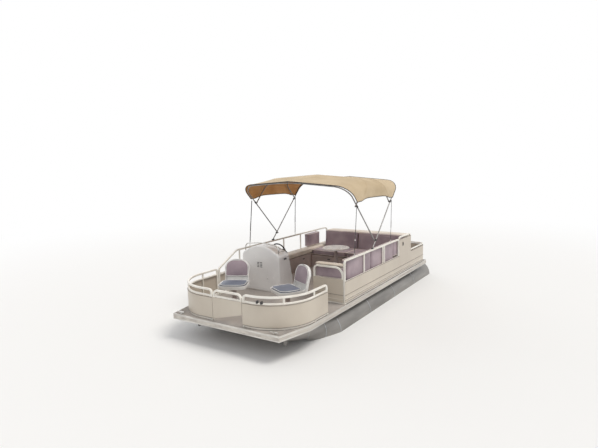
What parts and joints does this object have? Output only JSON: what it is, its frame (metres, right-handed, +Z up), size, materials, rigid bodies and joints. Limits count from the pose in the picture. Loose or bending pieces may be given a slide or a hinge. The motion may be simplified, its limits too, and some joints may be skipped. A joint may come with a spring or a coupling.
{
  "type": "pontoon_boat",
  "caption": "Twin-tube pontoon boat with panelled fences, helm console, lounges, swivel chairs, folding sun top and a tilted outboard; wheel, gate, chairs, top and motor move.",
  "frame": {"origin": "Centre of the length and beam, on the floor under the two keel strips.", "axes": "+X to port, +Y aft, +Z up."},
  "size_m": [2.44, 7.4741, 2.9381],
  "materials": {
    "tube_aluminium": "satin",
    "rail_aluminium": "satin",
    "trim_aluminium": "satin",
    "top_tube": "satin",
    "fence_beige": "gloss",
    "deck_carpet": "matte",
    "moulded_white": "gloss",
    "moulded_base": "matte",
    "cushion_mauve": "matte",
    "cushion_cream": "matte",
    "top_fabric": "matte",
    "webbing": "matte",
    "motor_paint": "gloss",
    "engine_iron": "rough",
    "dark_plastic": "matte",
    "hardware": "satin"
  },
  "bodies": {
    "boat": {"back_cushions": "cushion_mauve", "bow_eyes": "tube_aluminium", "bow_panels": "fence_beige", "bow_rails_port": "rail_aluminium", "bow_rails_starboard": "rail_aluminium", "chair_pedestals": "moulded_base", "cleats": "hardware", "console_rail": "rail_aluminium", "cream_pads": "cushion_cream", "cross_channels": "tube_aluminium", "dash_panel": "dark_plastic", "deck_board": "deck_carpet", "deck_trim": "trim_aluminium", "gate_hinges": "hardware", "helm_console": "moulded_white", "lounge_bases": "moulded_base", "motor_clamp": "motor_paint", "motor_pod": "tube_aluminium", "port_pontoon": "tube_aluminium", "return_rails": "rail_aluminium", "risers": "tube_aluminium", "seat_cushions": "cushion_mauve", "side_crossbars_port": "rail_aluminium", "side_elbows_port": "rail_aluminium", "side_panels": "fence_beige", "side_posts_port": "rail_aluminium", "side_rails_port": "rail_aluminium", "side_rails_starboard": "rail_aluminium", "starboard_pontoon": "tube_aluminium", "stern_panels": "fence_beige", "stern_rails_port": "rail_aluminium", "stern_rails_starboard": "rail_aluminium", "sun_bow_main": "top_tube", "sun_canopy": "top_fabric", "sun_feet": "dark_plastic", "sun_straps": "webbing", "table_pedestal": "moulded_base", "table_top": "moulded_white"},
    "gate": {"gate_frame": "rail_aluminium", "gate_panel": "fence_beige"},
    "helm_wheel": {"steering_wheel": "dark_plastic"},
    "chair_starboard": {"chair_shell_starboard": "moulded_white", "chair_pads_starboard": "cushion_mauve"},
    "chair_port": {"chair_shell_port": "moulded_white", "chair_pads_port": "cushion_mauve"},
    "sun_front": {"sun_bow_front": "top_tube"},
    "sun_fore": {"sun_bow_fore": "top_tube"},
    "sun_aft": {"sun_bow_aft": "top_tube"},
    "motor_tilt": {"motor_swivel": "motor_paint"},
    "motor_steer": {"motor_leg": "motor_paint", "lower_unit": "motor_paint", "motor_cowl": "motor_paint", "engine_block": "engine_iron"},
    "propeller": {"propeller": "motor_paint"}
  },
  "joints": [
    {"name": "gate_hinge", "type": "hinge", "parent": "boat", "child": "gate", "pos_m": [-0.243, -3.645, 1.041], "axis": [0, 0, 1], "range_deg": [0, 65]},
    {"name": "helm_turn", "type": "hinge", "parent": "boat", "child": "helm_wheel", "pos_m": [-0.5, -1.49954, 1.44659], "axis": [0, 0.9781, 0.2079], "range_deg": [-540, 540]},
    {"name": "chair_turn_starboard", "type": "hinge", "parent": "boat", "child": "chair_starboard", "pos_m": [-0.36, -3.02, 1.121], "axis": [0, 0, 1], "continuous": true},
    {"name": "chair_turn_port", "type": "hinge", "parent": "boat", "child": "chair_port", "pos_m": [0.64, -2.87, 1.121], "axis": [0, 0, 1], "continuous": true},
    {"name": "top_fold_front", "type": "hinge", "parent": "boat", "child": "sun_front", "pos_m": [0, -0.61333, 1.67298], "axis": [-1, 0, 0], "range_deg": [0, 86], "deforming": ["sun_canopy", "sun_straps"]},
    {"name": "top_fold_fore", "type": "hinge", "parent": "sun_front", "child": "sun_fore", "pos_m": [0, -1.36144, 2.39543], "axis": [1, 0, 0], "range_deg": [0, 85]},
    {"name": "top_fold_aft", "type": "hinge", "parent": "boat", "child": "sun_aft", "pos_m": [0, 0.10601, 2.36764], "axis": [-1, 0, 0], "range_deg": [0, 85]},
    {"name": "motor_tilt", "type": "hinge", "parent": "boat", "child": "motor_tilt", "pos_m": [0, 2.74, 0.691], "axis": [1, 0, 0], "range_deg": [-65, 0]},
    {"name": "motor_steer", "type": "hinge", "parent": "motor_tilt", "child": "motor_steer", "pos_m": [0, 2.79283, 0.80429], "axis": [0, -0.9063, 0.4226], "range_deg": [-30, 30]},
    {"name": "propeller_spin", "type": "hinge", "parent": "motor_steer", "child": "propeller", "pos_m": [0, 3.58303, 0.6769], "axis": [0, 0.4226, 0.9063], "continuous": true}
  ],
  "couplings": [
    {"joint": "top_fold_fore", "follows": "top_fold_front", "ratio": 0.98837},
    {"joint": "top_fold_aft", "follows": "top_fold_front", "ratio": 0.98837},
    {"joint": "motor_steer", "follows": "helm_turn", "ratio": -0.055556}
  ]
}
